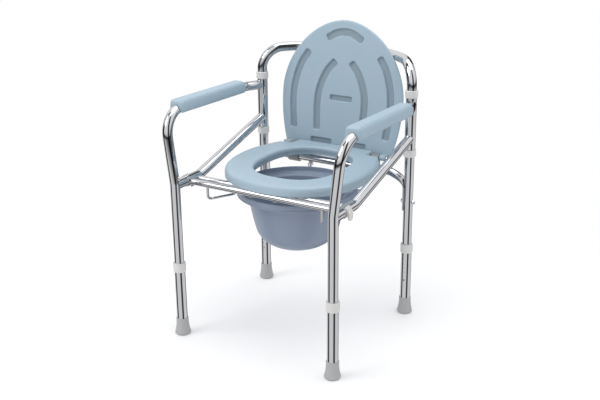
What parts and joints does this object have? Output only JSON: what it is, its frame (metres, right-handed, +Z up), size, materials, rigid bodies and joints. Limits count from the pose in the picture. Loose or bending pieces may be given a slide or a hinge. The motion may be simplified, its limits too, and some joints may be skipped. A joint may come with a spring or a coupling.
{
  "type": "commode chair",
  "caption": "Folding steel-tube commode chair with a moulded seat ring, hinged lid, lift-out pail, padded arms and height-adjustable legs on rubber feet.",
  "frame": {"origin": "on the floor, at the centre of the chair's outline seen from above, feet at z = 0", "axes": "+Z up, -Y the front that the user faces, +X to the right seen from the front"},
  "size_m": [0.54, 0.5607, 0.7718],
  "materials": {
    "chrome": "polished chrome plate on steel tube",
    "seat_plastic": "satin moulded polypropylene, pale blue grey",
    "pail_plastic": "semi-gloss moulded polypropylene, slate blue",
    "collar_plastic": "satin moulded nylon, light grey",
    "hinge_plastic": "satin moulded nylon, mid grey",
    "foot_rubber": "matt moulded rubber, grey",
    "button_steel": "plain spring steel with a bright button",
    "screw_steel": "zinc-plated steel screws"
  },
  "bodies": {
    "back_frame": {"back_tube": "chrome", "rear_cross_tube": "chrome", "cross_tube_bolts": "chrome", "cross_tube_nuts": "chrome", "collar_screws": "screw_steel", "hinge_rod": "chrome", "eyebolts": "chrome", "eyebolt_nuts": "chrome", "upper_collar_left": "collar_plastic", "lower_collar_left": "collar_plastic", "hinge_clamp_left": "hinge_plastic", "upper_collar_right": "collar_plastic", "lower_collar_right": "collar_plastic", "hinge_clamp_right": "hinge_plastic"},
    "seat": {"seat_ring": "seat_plastic", "front_bar": "chrome", "inner_bar": "chrome", "ring_screws": "screw_steel", "seat_hook_left": "chrome", "pail_rail_left": "chrome", "seat_hook_right": "chrome", "pail_rail_right": "chrome"},
    "lid": {"lid": "seat_plastic"},
    "pail": {"pail": "pail_plastic"},
    "side_frame_left": {"sleeve_left": "chrome", "arm_tube_left": "chrome", "brace_left": "chrome", "arm_pad_left": "seat_plastic", "pad_screws_left": "screw_steel", "stub_clip_left": "collar_plastic"},
    "side_frame_right": {"sleeve_right": "chrome", "arm_tube_right": "chrome", "brace_right": "chrome", "arm_pad_right": "seat_plastic", "pad_screws_right": "screw_steel", "stub_clip_right": "collar_plastic"},
    "leg_front_left": {"lower_leg_front_left": "chrome", "leg_collar_front_left": "collar_plastic", "foot_front_left": "foot_rubber"},
    "button_front_left": {"snap_button_front_left": "button_steel"},
    "leg_front_right": {"lower_leg_front_right": "chrome", "leg_collar_front_right": "collar_plastic", "foot_front_right": "foot_rubber"},
    "button_front_right": {"snap_button_front_right": "button_steel"},
    "leg_rear_left": {"lower_leg_rear_left": "chrome", "leg_collar_rear_left": "collar_plastic", "foot_rear_left": "foot_rubber"},
    "button_rear_left": {"snap_button_rear_left": "button_steel"},
    "leg_rear_right": {"lower_leg_rear_right": "chrome", "leg_collar_rear_right": "collar_plastic", "foot_rear_right": "foot_rubber"},
    "button_rear_right": {"snap_button_rear_right": "button_steel"}
  },
  "joints": [
    {"name": "seat_lift", "type": "hinge", "parent": "back_frame", "child": "seat", "pos_m": [0, 0.1512, 0.429], "axis": [-1, 0, 0], "range_deg": [0, 92.5]},
    {"name": "lid_fold", "type": "hinge", "parent": "back_frame", "child": "lid", "pos_m": [0, 0.1512, 0.429], "axis": [-1, 0, 0], "range_deg": [-97.7, 0]},
    {"name": "pail_slide", "type": "slide", "parent": "seat", "child": "pail", "axis": [0, -1, 0], "range_m": [0, 0.28]},
    {"name": "side_fold_left", "type": "hinge", "parent": "back_frame", "child": "side_frame_left", "pos_m": [-0.226, 0.1462, 0.535], "axis": [0, 0, -1], "range_deg": [0, 45]},
    {"name": "side_fold_right", "type": "hinge", "parent": "back_frame", "child": "side_frame_right", "pos_m": [0.226, 0.1462, 0.535], "axis": [0, 0, 1], "range_deg": [0, 45]},
    {"name": "leg_height_front_left", "type": "slide", "parent": "side_frame_left", "child": "leg_front_left", "axis": [0, 0, -1], "range_m": [0, 0.0735]},
    {"name": "button_press_front_left", "type": "slide", "parent": "side_frame_left", "child": "button_front_left", "axis": [0, -1, 0], "range_m": [0, 0.0045], "stiffness_N_per_m": 600},
    {"name": "leg_height_front_right", "type": "slide", "parent": "side_frame_right", "child": "leg_front_right", "axis": [0, 0, -1], "range_m": [0, 0.0735]},
    {"name": "button_press_front_right", "type": "slide", "parent": "side_frame_right", "child": "button_front_right", "axis": [0, -1, 0], "range_m": [0, 0.0045], "stiffness_N_per_m": 600},
    {"name": "leg_height_rear_left", "type": "slide", "parent": "back_frame", "child": "leg_rear_left", "axis": [0, 0, -1], "range_m": [0, 0.0735]},
    {"name": "button_press_rear_left", "type": "slide", "parent": "back_frame", "child": "button_rear_left", "axis": [0, 1, 0], "range_m": [0, 0.0045], "stiffness_N_per_m": 600},
    {"name": "leg_height_rear_right", "type": "slide", "parent": "back_frame", "child": "leg_rear_right", "axis": [0, 0, -1], "range_m": [0, 0.0735]},
    {"name": "button_press_rear_right", "type": "slide", "parent": "back_frame", "child": "button_rear_right", "axis": [0, 1, 0], "range_m": [0, 0.0045], "stiffness_N_per_m": 600}
  ]
}
